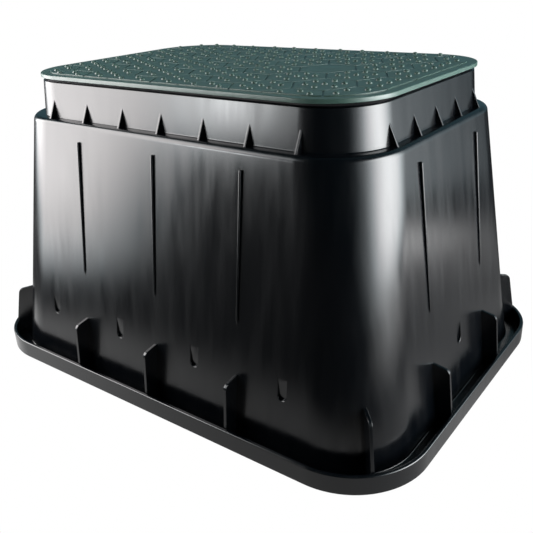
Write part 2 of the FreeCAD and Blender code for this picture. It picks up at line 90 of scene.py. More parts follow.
def shifted(outline, outwards, height):
    """A ring: half length, half width, corner radius and height, moved outwards by so much."""
    return tuple(value + outwards for value in outline[:3]) + (height,)


def round_corners_and_open(corner):
    """In edit mode: turns the selected plane into one rounded loop of edges."""
    bpy.ops.mesh.bevel(affect="VERTICES", offset_type="ABSOLUTE", offset=corner * MM,
                       segments=CORNER_STEPS, profile=0.5)
    bpy.ops.mesh.select_all(action="DESELECT")
    mesh = bmesh.from_edit_mesh(bpy.context.object.data)
    for face in mesh.faces:
        face.select = len(face.verts) > 4
    bmesh.update_edit_mesh(bpy.context.object.data)
    bpy.ops.mesh.select_mode(type="FACE")
    bpy.ops.mesh.delete(type="ONLY_FACE")
    bpy.ops.mesh.select_mode(type="VERT")


def settle():
    """Puts a new object's place into its mesh and goes into edit mode with all of it selected."""
    bpy.ops.object.transform_apply(location=True, rotation=True, scale=True)
    bpy.ops.object.mode_set(mode="EDIT")
    bpy.ops.mesh.select_all(action="SELECT")


def stretch(centre, amounts):
    """In edit mode: scales what is selected about a point."""
    bpy.ops.transform.resize(value=amounts, center_override=centre)


def add_ring(ring):
    """Adds one ring to the mesh in edit mode, or starts a new object with it."""
    half_length, half_width, corner, height = ring
    centre = (0, 0, height * MM)
    bpy.ops.mesh.primitive_plane_add(size=2 * MM, location=centre)
    if bpy.context.mode == "OBJECT":
        settle()
    stretch(centre, (half_length, half_width, 1))
    round_corners_and_open(corner)


print("a ring has", 4 * (CORNER_STEPS + 1), "points")

# %% [markdown]
# ## Choosing points by their place
#
# In the window one would click on an edge loop. In a script the points are chosen by where they
# are: a test is asked for every point of the mesh, and a ring's own test compares height and
# distance from its outline.

# %% Helpers: choose points
NEAR_HEIGHT, NEAR_OUTLINE = 0.01, 0.02


def choose(test):
    """In edit mode: selects the points that pass the test, and what lies between them."""
    mesh = bmesh.from_edit_mesh(bpy.context.object.data)
    for item in list(mesh.faces) + list(mesh.edges) + list(mesh.verts):
        item.select = False
    for point in mesh.verts:
        point.select = test(point.co / MM)
    mesh.select_flush(True)
    bmesh.update_edit_mesh(bpy.context.object.data)


def lies_on(ring):
    """A test for points of one ring, by their height and their distance from its outline."""
    half_length, half_width, corner, height = ring

    def test(point):
        past_x = max(abs(point.x) - (half_length - corner), 0)
        past_y = max(abs(point.y) - (half_width - corner), 0)
        off = math.hypot(past_x, past_y) - corner
        return abs(point.z - height) < NEAR_HEIGHT and abs(off) < NEAR_OUTLINE
    return test


print("a ring's points are told apart to", NEAR_HEIGHT, "mm in height")

# %% [markdown]
# ## From rings to a shell
#
# Bridging joins two loops with a band of faces. It goes by the direction from one loop to the
# next, so two loops on one plane can be joined the wrong way round, and the band then crosses
# the whole opening. Each ring is therefore kept a hair above or below its neighbour. The print
# at the end is the proof of a sound shell: no edge between faces that disagree, and a volume
# that makes sense.

# %% Helpers: bridge rings into a shell
RING_STEP = 0.03


def apart(rings):
    """Keeps neighbouring rings off one plane, where a bridge can run the wrong way round."""
    moved = [rings[0]]
    for ring in rings[1:]:
        before = moved[-1][3]
        level = abs(ring[3] - before) < RING_STEP
        moved.append(ring[:3] + (before + RING_STEP,) if level else ring)
    return moved


def shell_from(name, rings, closed):
    """Makes the rings and bridges each to the next; a closed shell's last ring meets its first."""
    deselect_everything()
    rings = apart(rings)
    for ring in rings:
        add_ring(ring)
    pairs = list(zip(rings, rings[1:])) + ([(rings[-1], rings[0])] if closed else [])
    for here, there in pairs:
        test_a, test_b = lies_on(here), lies_on(there)
        choose(lambda point: test_a(point) or test_b(point))
        bpy.ops.mesh.bridge_edge_loops()
    for ring in [] if closed else (rings[0], rings[-1]):
        choose(lies_on(ring))
        bpy.ops.mesh.edge_face_add()
    bpy.ops.mesh.select_all(action="SELECT")
    bpy.ops.mesh.normals_make_consistent(inside=False)
    bpy.ops.object.mode_set(mode="OBJECT")
    piece = bpy.context.object
    piece.name = name
    mesh = bmesh.new()
    mesh.from_mesh(piece.data)
    clashing = sum(not edge.is_contiguous for edge in mesh.edges)
    print(name, "has", len(rings), "rings,", len(mesh.faces), "faces,", clashing,
          "edges between faces that disagree, and", round(mesh.calc_volume() / MM ** 3 / 1000),
          "cubic cm")
    mesh.free()
    return piece


# %% [markdown]
# ## Rounded edges
#
# A rounded edge of a moulding is a quarter turn of rings. One helper gives them for outer edges
# and for fillets alike: it walks round a small circle, from straight out to straight up.


# %% Helper: rings along a rounded edge
def arc(outline, out_centre, high_centre, radius, start, end, steps):
    """Rings along a rounded edge: degrees run from 0, straight out, to 90, straight up.

    The arc's centre line lies out_centre outside the outline."""
    rings = []
    for step in range(steps + 1):
        angle = math.radians(start + (end - start) * step / steps)
        rings.append(shifted(outline, out_centre + radius * math.cos(angle),
                             high_centre + radius * math.sin(angle)))
    return rings


print("a quarter turn in three steps:",
      [round(ring[3], 2) for ring in arc((10, 10, 2), 0, 0, 1, 0, 90, 3)])

# %% [markdown]
# ## The box's profile
#
# The profile is walked once round, from the hollow's lower edge out along the underside, over
# the flange's upstanding lip, up the leaning wall, over the round shoulder, up and down the
# collar, and back down the inside. Every outer edge gets a small radius, because a sharp mould
# edge would show no highlight, and every inner corner gets a fillet.


# %% Helper: the wall's outline at a height
def wall(height, outwards=0.0):
    """The leaning wall's outline at a height. Its corners keep their radius all the way up."""
    half_length, half_width, corner = FOOT
    inwards = LEAN * height / SHOULDER
    return shifted((half_length - inwards, half_width - inwards, corner), outwards, height)


TILT = math.degrees(math.atan(LEAN / SHOULDER))
slant = math.cos(math.radians(TILT))
print("the wall leans by", round(TILT, 1), "degrees")

# %% [markdown]
# ### Under the foot, over the lip, up the wall
#
# The first ring lies on the ground at the hollow's edge. The lip is rounded to a full bead on
# top, because that is the edge that hands and spades meet.

# %% Rings of the foot, the lip and the wall
HOLLOW_EDGE, EDGE, LIP_EDGE, FOOT_FILLET, SHOULDER_EDGE = 0.5, 0.7, 1.3, 2.0, 6.0

rings = [wall(0, -WALL + HOLLOW_EDGE)]
rings += arc(BASE, -EDGE, EDGE, EDGE, -90, 0, 3)
rings += arc(BASE, -LIP_EDGE, LIP_TOP - LIP_EDGE, LIP_EDGE, 0, 90, 5)
rings += arc(BASE, -LIP_WALL + LIP_EDGE, LIP_TOP - LIP_EDGE, LIP_EDGE, 90, 180, 5)
rings += arc(BASE, -LIP_WALL - FOOT_FILLET, FLOOR_TOP + FOOT_FILLET, FOOT_FILLET, 0, -90, 4)
centre = FLOOR_TOP + FOOT_FILLET
rings += arc(wall(centre), FOOT_FILLET / slant, centre, FOOT_FILLET, -90, -180 + TILT, 4)
centre = SHOULDER - SHOULDER_EDGE
rings += arc(wall(centre), -SHOULDER_EDGE / slant, centre, SHOULDER_EDGE, TILT, 90, 7)
print("rings up to the shoulder:", len(rings))

# %% [markdown]
# ### The collar, its bead and the inside
#
# Inside the collar's rim stands a low bead, and the lid's plate hovers just over it. The bead's
# outer face is undercut, so the gap under the lid's rim mirrors nothing bright and reads as a
# black line.

# %% Rings of the collar and the inside
COLLAR_FILLET, RIM_EDGE, BEAD_EDGE, LEDGE_EDGE, ROOF_FILLET = 1.0, 0.3, 0.2, 0.8, 3.0

rings += arc(COLLAR, COLLAR_FILLET, SHOULDER + COLLAR_FILLET, COLLAR_FILLET, -90, -180, 3)
rings += arc(COLLAR, -COLLAR_LEAN - RIM_EDGE, COLLAR_TOP - RIM_EDGE, RIM_EDGE, 0, 90, 3)
rings += [shifted(SEAT, BEAD_FOOT, COLLAR_TOP)]
rings += arc(SEAT, BEAD_WIDTH - BEAD_EDGE, BEAD_TOP - BEAD_EDGE, BEAD_EDGE, 0, 90, 3)
rings += arc(SEAT, BEAD_EDGE, BEAD_TOP - BEAD_EDGE, BEAD_EDGE, 90, 180, 3)
rings += arc(SEAT, -COLLAR_FILLET, SHOULDER + COLLAR_FILLET, COLLAR_FILLET, 0, -90, 3)
rings += arc(LEDGE, LEDGE_EDGE, SHOULDER - LEDGE_EDGE, LEDGE_EDGE, 90, 180, 3)
rings += arc(LEDGE, LEDGE_EDGE, LEDGE_UNDER + LEDGE_EDGE, LEDGE_EDGE, 180, 270, 3)
rings += arc(wall(LEDGE_UNDER - ROOF_FILLET), -WALL - ROOF_FILLET, LEDGE_UNDER - ROOF_FILLET,
             ROOF_FILLET, 90, 0, 3)
rings += [wall(HOLLOW_EDGE, -WALL)]
box_shell = shell_from("box_shell", rings, closed=True)

# %% [markdown]
# ## Thumbnail recesses
#
# Low on each wall a few shallow recesses mark where a pipe hole may be cut. Their back is
# upright, so on the leaning wall they run out at the top and are deepest at their round lower
# end. A boolean cut suits them: one cutter is shaped from a plane, with its lower corners
# bevelled to a half circle.


# %% Helpers: flat plates
def upright_plane(name, near, far, low, high):
    """A plane that stands across Y, from near to far and from low to high, at x = 0."""
    deselect_everything()
    centre = (0, (near + far) / 2 * MM, (low + high) / 2 * MM)
    bpy.ops.mesh.primitive_plane_add(size=MM, location=centre, rotation=(0, math.pi / 2, 0))
    bpy.context.object.name = name
    settle()
    stretch(centre, (1, far - near, high - low))
    return bpy.context.object


def trim(start, end):
    """In edit mode: cuts off what lies right of the line from one (y, z) point to another."""
    bpy.ops.mesh.select_all(action="SELECT")
    along = Vector((0, end[0] - start[0], end[1] - start[1])).normalized()
    bpy.ops.mesh.bisect(plane_co=(0, start[0] * MM, start[1] * MM),
                        plane_no=(0, along.z, -along.y), clear_outer=True, use_fill=False)


def thicken(thickness):
    """In edit mode: gives the plane its thickness, half to each side, and closes it."""
    bpy.ops.mesh.select_all(action="SELECT")
    bpy.ops.transform.translate(value=(-thickness / 2 * MM, 0, 0))
    bpy.ops.mesh.extrude_region_move(TRANSFORM_OT_translate={"value": (thickness * MM, 0, 0)})
    bpy.ops.mesh.select_all(action="SELECT")
    bpy.ops.mesh.normals_make_consistent(inside=False)
    bpy.ops.object.mode_set(mode="OBJECT")


def apply_modifier(piece, kind, **settings):
    """Adds a modifier with its settings and applies it at once."""
    deselect_everything()
    bpy.context.view_layer.objects.active = piece
    piece.select_set(True)
    modifier = piece.modifiers.new(kind.title(), kind)
    for key, value in settings.items():
        setattr(modifier, key, value)
    bpy.ops.object.modifier_apply(modifier=modifier.name)


def placed_copy(piece, matrix):
    """Another piece with a mesh of its own, put in place in the mesh itself."""
    twin = piece.copy()
    twin.data = piece.data.copy()
    twin.data.transform(matrix)
    bpy.context.scene.collection.objects.link(twin)
    return twin


def put_together(name, pieces):
    """Joins pieces into one object."""
    deselect_everything()
    for piece in pieces:
        piece.select_set(True)
    bpy.context.view_layer.objects.active = pieces[0]
    bpy.ops.object.join()
    pieces[0].name = name
    return pieces[0]


def around(side, along, face):
    """Turns a web made towards +Y to one of the four walls, and slides it along that wall."""
    turn = {"long": 0.0, "short": -math.pi / 2}[side] + (0.0 if face > 0 else math.pi)
    return Matrix.Rotation(turn, 4, "Z") @ Matrix.Translation((along * MM, 0, 0))


print("the short walls' webs are turned by 90 degrees")

# %% [markdown]
# All cutters are joined and cut in one go. The exact solver keeps the wall's faces flat, which
# the reflections would show at once if it didn't.

# %% Cut the recesses
RECESS_WIDTH, RECESS_LOW, RECESS_HIGH, CUTTER_RISE, CUTTER_DEPTH = 9.0, 56.0, 77.0, 8, 12


def recess_cutter(half_foot):
    """A block with a round lower end; its upright back meets the wall at the recess's top."""
    back = half_foot - LEAN * RECESS_HIGH / SHOULDER
    deselect_everything()
    centre = (0, back * MM, (RECESS_LOW + RECESS_HIGH + CUTTER_RISE) / 2 * MM)
    bpy.ops.mesh.primitive_plane_add(size=MM, location=centre, rotation=(math.pi / 2, 0, 0))
    cutter = bpy.context.object
    settle()
    stretch(centre, (RECESS_WIDTH, 1, RECESS_HIGH + CUTTER_RISE - RECESS_LOW))
    choose(lambda point: point.z < RECESS_LOW + 1)
    bpy.ops.mesh.bevel(affect="VERTICES", offset_type="ABSOLUTE", segments=8, profile=0.5,
                       offset=(RECESS_WIDTH / 2 - 0.02) * MM)
    bpy.ops.mesh.select_all(action="SELECT")
    bpy.ops.mesh.extrude_region_move(TRANSFORM_OT_translate={"value": (0, CUTTER_DEPTH * MM, 0)})
    bpy.ops.mesh.select_all(action="SELECT")
    bpy.ops.mesh.normals_make_consistent(inside=False)
    bpy.ops.object.mode_set(mode="OBJECT")
    return cutter


cutters = []
for side, half_foot, places in (("long", FOOT[1], (-150, -50, 50, 150)), ("short", FOOT[0], (0,))):
    cutter = recess_cutter(half_foot)
    cutters += [placed_copy(cutter, around(side, place, face))
                for place in places for face in (1, -1)]
    bpy.data.objects.remove(cutter)
cutter = put_together("recess_cutter", cutters)
apply_modifier(box_shell, "BOOLEAN", operation="DIFFERENCE", object=cutter, solver="EXACT")
bpy.data.objects.remove(cutter)
print("recesses cut:", len(cutters))

# %% [markdown]
# A moulded recess has no knife edge. The cut edges are found by their height and by the angle
# between their faces, and an edge bevel rounds them, so each recess gets a soft rim that
# catches the light.

# %% Round the rims of the recesses
RIM_ROUND, RIM_ANGLE = 0.6, 25

deselect_everything()
bpy.context.view_layer.objects.active = box_shell
box_shell.select_set(True)
bpy.ops.object.mode_set(mode="EDIT")
bpy.ops.mesh.select_mode(type="EDGE")
bpy.ops.mesh.select_all(action="DESELECT")
mesh = bmesh.from_edit_mesh(box_shell.data)
for edge in mesh.edges:
    heights = [point.co.z / MM for point in edge.verts]
    at_recess = min(heights) > RECESS_LOW - 1 and max(heights) < RECESS_HIGH + 1
    edge.select = at_recess and edge.is_convex and edge.calc_face_angle() > math.radians(RIM_ANGLE)
rims = sum(edge.select for edge in mesh.edges)
bmesh.update_edit_mesh(box_shell.data)
bpy.ops.mesh.bevel(affect="EDGES", offset_type="OFFSET", offset=RIM_ROUND * MM, segments=3,
                   profile=0.5)
bpy.ops.mesh.select_mode(type="VERT")
bpy.ops.object.mode_set(mode="OBJECT")
print(rims, "rim edges rounded;", len(box_shell.data.polygons), "faces in all")

# %% [markdown]
# ## Fins, ribs and gussets
#
# Thin webs stiffen the box: triangular fins between shoulder and collar, slim ribs that stand
# out of the leaning wall towards its top, and gussets that tie the wall to the lip. Each kind
# starts as an upright plane, is trimmed by bisecting, gets its thickness by one extrusion, and
# then small rounded edges from a Bevel modifier. One web per wall kind is made, and the others
# are copies.


# %% Helpers: the wall's distance and soft edges
def wall_at(half_foot, height):
    """How far a wall stands from the middle at a height."""
    return half_foot - LEAN * height / SHOULDER


def soften(piece, width, segments=3):
    """Rounds a web's sharp edges with an applied Bevel modifier."""
    apply_modifier(piece, "BEVEL", width=width * MM, segments=segments, limit_method="ANGLE",
                   angle_limit=math.radians(30), use_clamp_overlap=True)


ROOT = 1.5
print("webs are rooted", ROOT, "mm deep in the wall")

# %% [markdown]
# ### Fins
#
# The fins are right triangles between the shoulder's ledge and the collar. They stop short of
# the shoulder's round edge, so its highlight runs on unbroken below them.

# %% Fins
FIN_RISE, FIN_THICKNESS, FIN_SETBACK, FIN_EDGE = 17.0, 2.2, 4.5, 0.35


def fin(half_foot, half_collar):
    """One fin for a wall, given the wall's distance at the ground and the collar's."""
    outer = wall_at(half_foot, SHOULDER) - FIN_SETBACK
    face = half_collar - COLLAR_LEAN * FIN_RISE / COLLAR_RISE
    piece = upright_plane("fin", face - ROOT, outer, SHOULDER - FIN_SETBACK,
                          SHOULDER + FIN_RISE + 1)
    trim((outer, SHOULDER), (face, SHOULDER + FIN_RISE))
    thicken(FIN_THICKNESS)
    soften(piece, FIN_EDGE, 2)
    return piece


print("a fin rises", FIN_RISE, "mm")

# %% [markdown]
# ### Ribs
#
# An upright rib runs down each wall above every gusset. It stands out furthest at its top and
# ends in a short slope. Its edges are rounded so far that it is nearly a bead.

# %% Ribs
RIB_TOP, RIB_STAND, RIB_HEEL, RIB_END, RIB_SLOPE = 246.0, 2.6, 1.4, 112.0, 5.0
RIB_THICKNESS, RIB_EDGE = 2.2, 0.9


def rib(half_foot):
    """One rib for a wall, given the wall's distance at the ground."""
    outer = wall_at(half_foot, RIB_TOP) + RIB_STAND
    heel = wall_at(half_foot, RIB_END + RIB_SLOPE) + RIB_HEEL
    lower = wall_at(half_foot, RIB_END)
    piece = upright_plane("rib", wall_at(half_foot, RIB_TOP) - ROOT, heel + 1, RIB_END - 6,
                          RIB_TOP)
    trim((heel, RIB_END + RIB_SLOPE), (outer, RIB_TOP))
    trim((lower, RIB_END), (heel, RIB_END + RIB_SLOPE))
    thicken(RIB_THICKNESS)
    soften(piece, RIB_EDGE, 4)
    return piece


print("a rib is", RIB_TOP - RIB_END, "mm long")

# %% [markdown]
# ### Gussets
#
# The gussets are the tall plates that tie the wall to the lip. Their top falls a little
# outwards and turns down in a round corner, which catches a bright dot of light.

# %% Gussets
GUSSET_TOP, GUSSET_FALL, GUSSET_REACH = 64.0, 3.0, 16.0
GUSSET_THICKNESS, GUSSET_ROUND, GUSSET_EDGE, GUSSET_ROOT = 3.0, 4.0, 0.6, 2.5


def gusset(half_base, wall_top, wall_corner, wall_foot):
    """From lip to wall, given the wall's distance at the gusset's top, its corner and the foot."""
    corner = (wall_corner + GUSSET_REACH, GUSSET_TOP - GUSSET_FALL)
    lip = half_base - LIP_WALL
    piece = upright_plane("gusset", wall_top - GUSSET_ROOT, lip + LIP_WALL / 2, FLOOR_TOP / 2,
                          GUSSET_TOP + 1)
    trim((wall_top - GUSSET_ROOT, GUSSET_TOP), (wall_foot - GUSSET_ROOT, 0))
    trim((lip, LIP_TOP), corner)
    trim(corner, (wall_top, GUSSET_TOP))
    choose(lambda point: abs(point.y - corner[0]) < 0.1 and abs(point.z - corner[1]) < 0.1)
    bpy.ops.mesh.bevel(affect="VERTICES", offset_type="OFFSET", offset=GUSSET_ROUND * MM,
                       segments=6, profile=0.5)
    thicken(GUSSET_THICKNESS)
    soften(piece, GUSSET_EDGE, 3)
    return piece


print("a gusset is", GUSSET_TOP, "mm high")

# %% [markdown]
# ### Copies along the walls
#
# A long wall has seven fins and three ribs with their gussets, a short wall has five and two.
# One of each is modelled per kind of wall, then copied with a mesh of its own to every place on
# both sides.

# %% Place the webs along the walls
LONG_FINS, SHORT_FINS = [49.5 * k for k in range(-3, 4)], [43 * k for k in range(-2, 3)]

webs = []
for side, half_foot, half_base, half_collar, fins, others in (
        ("long", FOOT[1], BASE[1], COLLAR[1], LONG_FINS, (-100, 0, 100)),
        ("short", FOOT[0], BASE[0], COLLAR[0], SHORT_FINS, (-60, 60))):
    models = [(fin(half_foot, half_collar), fins), (rib(half_foot), others),
              (gusset(half_base, *[wall_at(half_foot, z) for z in
                                   (GUSSET_TOP, GUSSET_TOP - GUSSET_FALL, 0)]), others)]
    for model, places in models:
        webs += [placed_copy(model, around(side, place, face)) for place in places
                 for face in (1, -1)]
        bpy.data.objects.remove(model)
print("webs along the walls:", len(webs))

# %% [markdown]
# ### Corner gussets
#
# One more gusset stands in each corner of the foot, on the diagonal. It is made to the distance
# of the wall's round corner from the axis of the lip's corner, and turned about that axis.

# %% Place the corner gussets
CORNER_ROUND = 63.5


def corner_distance(height):
    """From the lip corner's axis to the wall's round corner, on the diagonal."""
    sides = (wall_at(FOOT[0], height) - BASE[0] + BASE[2]
             + wall_at(FOOT[1], height) - BASE[1] + BASE[2]) / 2
    return math.sqrt(2) * sides - (math.sqrt(2) - 1) * CORNER_ROUND


corner_gusset = gusset(BASE[2], *[corner_distance(z) for z in
                                  (GUSSET_TOP, GUSSET_TOP - GUSSET_FALL, 0)])
for x_sign in (1, -1):
    for y_sign in (1, -1):
        place = Matrix.Translation((x_sign * (BASE[0] - BASE[2]) * MM,
                                    y_sign * (BASE[1] - BASE[2]) * MM, 0))
        turn = math.atan2(y_sign, x_sign) - math.pi / 2
        webs.append(placed_copy(corner_gusset, place @ Matrix.Rotation(turn, 4, "Z")))
bpy.data.objects.remove(corner_gusset)
print("webs:", len(webs))

box_moulding = put_together("box_moulding", [box_shell] + webs)

# %% [markdown]
# ## The lid's plate and skirt
#
# The lid is a thin plate with a skirt that drops inside the collar. The same ring method makes
# it, but here the first and the last ring are filled with a face, because the plate has no
# opening.

# %% Lid plate and skirt
UNDER = COLLAR_TOP + LID_GAP
PLATE_TOP = UNDER + 3.8
TREAD_TOP = PLATE_TOP + 0.8
LID = (402 / 2, 273 / 2, 60.0)
SKIRT = tuple(value - 1 for value in SEAT)
SKIRT_WALL, SKIRT_LOW = 3.0, SHOULDER
LID_EDGE, LOWER_EDGE, SKIRT_FILLET, SKIRT_EDGE = 0.9, 0.5, 0.8, 0.6

rings = [shifted(LID, -30, PLATE_TOP)]
rings += arc(LID, -LID_EDGE, PLATE_TOP - LID_EDGE, LID_EDGE, 90, 0, 5)
rings += arc(LID, -LOWER_EDGE, UNDER + LOWER_EDGE, LOWER_EDGE, 0, -90, 2)
rings += arc(SKIRT, SKIRT_FILLET, UNDER - SKIRT_FILLET, SKIRT_FILLET, 90, 180, 2)
rings += arc(SKIRT, -SKIRT_EDGE, SKIRT_LOW + SKIRT_EDGE, SKIRT_EDGE, 0, -90, 2)
rings += arc(SKIRT, -SKIRT_WALL + SKIRT_EDGE, SKIRT_LOW + SKIRT_EDGE, SKIRT_EDGE, -90, -180, 2)
rings += [shifted(SKIRT, -SKIRT_WALL, UNDER)]
lid_plate = shell_from("lid_plate", rings, closed=False)

# %% [markdown]
# ## Ribs under the lid
#
# The underside has a grid of ribs, which is what lets a thin lid carry a foot or a mower wheel.
# They are plain upright plates with slightly rounded edges, running from skirt to skirt.

# %% Lid ribs
LID_RIB_DEPTH, LID_RIB_THICKNESS, LID_RIB_EDGE = 18.0, 2.5, 0.3
CROSS_PLACES, LENGTH_PLACES = range(-141, 142, 47), range(-75, 76, 50)
lid_ribs = []
for turn, half_span, places in ((0.0, SKIRT[1], CROSS_PLACES),
                                (math.pi / 2, SKIRT[0], LENGTH_PLACES)):
    reach = half_span - SKIRT_WALL / 2
    model = upright_plane("lid_rib", -reach, reach, UNDER - LID_RIB_DEPTH, UNDER + 1)
    thicken(LID_RIB_THICKNESS)
    soften(model, LID_RIB_EDGE, 1)
    lid_ribs += [placed_copy(model, Matrix.Rotation(turn, 4, "Z")
                             @ Matrix.Translation((place * MM, 0, 0))) for place in places]
    bpy.data.objects.remove(model)
lid_moulding = put_together("lid_moulding", [lid_plate] + lid_ribs)
print("lid ribs:", len(lid_ribs))

# %% [markdown]
# ## The honeycomb tread
#
# The tread is a raised honeycomb: hexagonal tiles with thin grooves between them, cut off along
# a border that follows the rim. Six-sided circles are laid on a honeycomb grid and extruded
# together, and a boolean with a rounded block trims the outer ones.

# %% Tiles
TILE_SIDE, TILE_GROOVE, TILE_EDGE, TILE_ROOT, TREAD_MARGIN = 30.0, 1.6, 0.15, 1.5, 9.5
COLUMN, ROW = 1.5 * TILE_SIDE, math.sqrt(3) * TILE_SIDE
FIELD = tuple(value - TREAD_MARGIN for value in LID)

cells = [(i * COLUMN, j * ROW + (ROW / 2 if i % 2 else 0)) for i in range(-5, 6)
         for j in range(-4, 5)]
deselect_everything()
for index, (x, y) in enumerate(cells):
    bpy.ops.mesh.primitive_circle_add(
        vertices=6, radius=(TILE_SIDE - TILE_GROOVE / math.sqrt(3)) * MM, fill_type="NGON",
        location=(x * MM, y * MM, (PLATE_TOP - TILE_ROOT) * MM), rotation=(0, 0, math.pi / 6))
    if index == 0:
        settle()
bpy.ops.mesh.select_all(action="SELECT")
rise = (TREAD_TOP - PLATE_TOP + TILE_ROOT) * MM
bpy.ops.mesh.extrude_region_move(TRANSFORM_OT_translate={"value": (0, 0, rise)})
bpy.ops.mesh.select_all(action="SELECT")
bpy.ops.mesh.normals_make_consistent(inside=False)
bpy.ops.object.mode_set(mode="OBJECT")
lid_tiles = bpy.context.object
lid_tiles.name = "lid_tiles"
print("tiles before trimming:", len(cells))

# %% [markdown]
# The block that trims them has the tread's outline, so the outer tiles end in the same smooth
# border as the real ones. A narrow bevel then takes the knife edge off every tile.

# %% Trim the tiles
field_block = shell_from("field_block", [shifted(FIELD, 0, PLATE_TOP - 3),
                                         shifted(FIELD, 0, TREAD_TOP + 3)], closed=False)
apply_modifier(lid_tiles, "BOOLEAN", operation="INTERSECT", object=field_block, solver="EXACT")
bpy.data.objects.remove(field_block)
soften(lid_tiles, TILE_EDGE, 2)
print("tiles:", len(lid_tiles.data.polygons), "faces")

# %% [markdown]
# ## Studs
#
# Seven domed studs on each tile give grip. One dome is cut from a small sphere and flattened,
# with few faces because it is repeated hundreds of times. One cell of the honeycomb stays bare.

# %% Model one stud
STUD_RADIUS, STUD_HEIGHT, STUD_ROOT = 2.75, 2.0, 0.1

deselect_everything()
bpy.ops.mesh.primitive_uv_sphere_add(segments=12, ring_count=8, radius=STUD_RADIUS * MM,
                                     location=(0, 0, 0))
stud = bpy.context.object
bpy.ops.object.mode_set(mode="EDIT")
bpy.ops.mesh.select_all(action="SELECT")
bpy.ops.mesh.bisect(plane_co=(0, 0, 0.0), plane_no=(0, 0, -1), clear_outer=True, use_fill=True)
bpy.ops.mesh.select_all(action="SELECT")
stretch((0, 0, 0), (1, 1, (STUD_HEIGHT + STUD_ROOT) / STUD_RADIUS))
bpy.ops.object.mode_set(mode="OBJECT")
print("one stud has", len(stud.data.polygons), "faces")

# %% [markdown]
# A stud is only placed where all of its foot is on the tread, as on the real lid, where the
# outer tiles have fewer studs.

# %% Place the studs
STUD_RING, STUD_REACH, BARE_CELL = 16.0, 3.8, (2 * COLUMN, 0)


def inside_field(x, y, inset):
    """Whether a point lies on the tread, at least so far from its border."""
    reach_x = max(abs(x) - (FIELD[0] - FIELD[2]), 0)
    reach_y = max(abs(y) - (FIELD[1] - FIELD[2]), 0)
    inner = FIELD[2] - inset
    straight = abs(x) <= FIELD[0] - inset and abs(y) <= FIELD[1] - inset
    return straight and math.hypot(reach_x, reach_y) <= inner


spots = []
for x, y in cells:
    if math.hypot(x - BARE_CELL[0], y - BARE_CELL[1]) < TILE_SIDE / 2:
        continue
    ring = [(x + STUD_RING * math.cos(math.radians(30 + 60 * k)),
             y + STUD_RING * math.sin(math.radians(30 + 60 * k))) for k in range(6)]
    spots += [spot for spot in [(x, y)] + ring if inside_field(*spot, STUD_REACH)]
studs = [placed_copy(stud, Matrix.Translation((x * MM, y * MM, (TREAD_TOP - STUD_ROOT) * MM)))
         for x, y in spots]
bpy.data.objects.remove(stud)
lid_studs = put_together("lid_studs", studs)
print("studs:", len(spots))

# %% [markdown]
# ## Shading
#
# Faces up to a moderate angle are shaded as one curved surface. On a glossy moulding the flat
# walls must stay flat in the reflection, so the normals are weighted by face area.

# %% Smooth shading
for piece in (box_moulding, lid_moulding, lid_tiles, lid_studs):
    deselect_everything()
    piece.select_set(True)
    bpy.context.view_layer.objects.active = piece
    bpy.ops.object.shade_smooth_by_angle(angle=math.radians(35))
    apply_modifier(piece, "WEIGHTED_NORMAL", keep_sharp=True, weight=50)
    print(piece.name, len(piece.data.polygons), "faces")

# %% [markdown]
# ## Materials
#
# Moulded polyolefin has a deep colour under a clear gloss: nearly all that is seen of the black
# is reflection. What makes it plastic is how the reflection breaks up: faint flow streaks along
# the draw direction, a very fine grain and slow waves from shrinkage. All of that is roughness
# and bump; the base colour hardly changes.


# %% Helpers: a plastic material
def new_plastic(name, colour, roughness):
    """A new material and its shader, with the constants set on the shader's own sockets."""
    material = bpy.data.materials.new(name)
    material.use_nodes = True
    shader = material.node_tree.nodes["Principled BSDF"]
    shader.inputs["Base Color"].default_value = (*colour, 1)
    shader.inputs["Roughness"].default_value = roughness
    shader.inputs["IOR"].default_value = 1.5
    return material, shader


def add_node(material, kind, **settings):
    node = material.node_tree.nodes.new(kind)
    for key, value in settings.items():
        setattr(node, key, value)
    return node


def link(material, output, target):
    material.node_tree.links.new(output, target)


def stretched_noise(material, stretch, scale, detail=3.0):
    """Noise on Object coordinates, stretched along Z by a small third number."""
    where = add_node(material, "ShaderNodeTexCoord")
    turn = add_node(material, "ShaderNodeMapping")
    turn.inputs["Scale"].default_value = stretch
    noise = add_node(material, "ShaderNodeTexNoise")
    noise.inputs["Scale"].default_value = scale
    noise.inputs["Detail"].default_value = detail
    link(material, where.outputs["Object"], turn.inputs["Vector"])
    link(material, turn.outputs["Vector"], noise.inputs["Vector"])
    return noise.outputs["Fac"]


def vary(material, source, low, high, target):
    """Sends a texture's middle range to a socket, spread from low to high."""
    spread = add_node(material, "ShaderNodeMapRange")
    spread.inputs["From Min"].default_value = 0.3
    spread.inputs["From Max"].default_value = 0.7
    spread.inputs["To Min"].default_value = low
    spread.inputs["To Max"].default_value = high
    link(material, source, spread.inputs["Value"])
    link(material, spread.outputs["Result"], target)


def raise_surface(material, source, height, strength, under=None):
    """A Bump node of so many millimetres, on top of another one if there is one under it."""
    bump = add_node(material, "ShaderNodeBump")
    bump.inputs["Distance"].default_value = height * MM
    bump.inputs["Strength"].default_value = strength
    link(material, source, bump.inputs["Height"])
    if under is not None:
        link(material, under.outputs["Normal"], bump.inputs["Normal"])
    return bump


print("helpers for plastic are ready")

# %% [markdown]
# ### Black plastic
#
# The box's black is almost pure gloss. Streaks of rougher and smoother skin follow the draw
# direction, and under a very fine grain the surface waves a little, which softens the edge of a
# reflected lamp.

